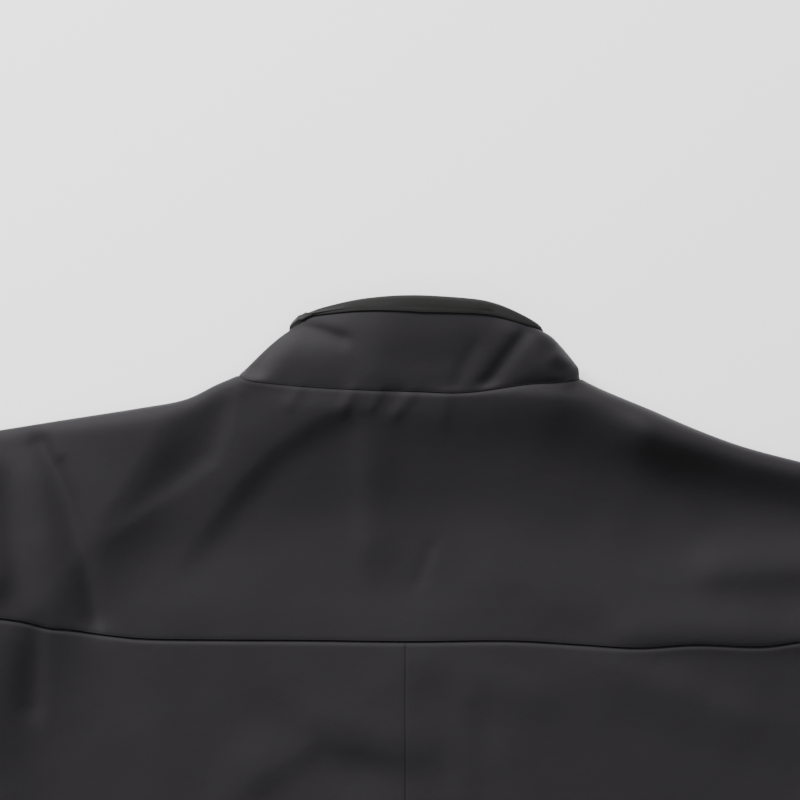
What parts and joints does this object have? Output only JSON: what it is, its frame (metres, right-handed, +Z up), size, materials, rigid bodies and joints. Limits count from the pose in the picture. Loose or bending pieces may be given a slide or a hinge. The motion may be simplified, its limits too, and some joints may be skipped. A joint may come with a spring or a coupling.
{
  "type": "softshell jacket",
  "caption": "Dark charcoal softshell jacket with a stand collar and a one-piece back yoke, lying flat on its front with its back upwards and the sleeves angled down.",
  "frame": {"origin": "centre of the outline, on the surface that the jacket lies on", "axes": "+Z up out of the back, +Y towards the collar, +X towards the wearer's right sleeve"},
  "size_m": [1.5112, 0.7574, 0.0406],
  "materials": {
    "shell_cloth": "matte with a soft sheen",
    "inner_cloth": "matte",
    "zip_tape": "matte",
    "zip_metal": "satin"
  },
  "bodies": {
    "jacket": {"back_yoke": "shell_cloth", "back_left": "shell_cloth", "back_right": "shell_cloth", "front_left": "shell_cloth", "front_right": "shell_cloth", "sleeve_left": "shell_cloth", "sleeve_right": "shell_cloth", "collar_outer": "shell_cloth", "collar_facing": "inner_cloth", "front_zip": "zip_tape", "zip_slider": "zip_metal"},
    "pull": {"zip_pull": "zip_metal"}
  },
  "joints": [
    {"name": "pull_swing", "type": "hinge", "parent": "jacket", "child": "pull", "pos_m": [0, 0.2833, 0.00185], "axis": [1, 0, 0], "range_deg": [0, 170]}
  ]
}
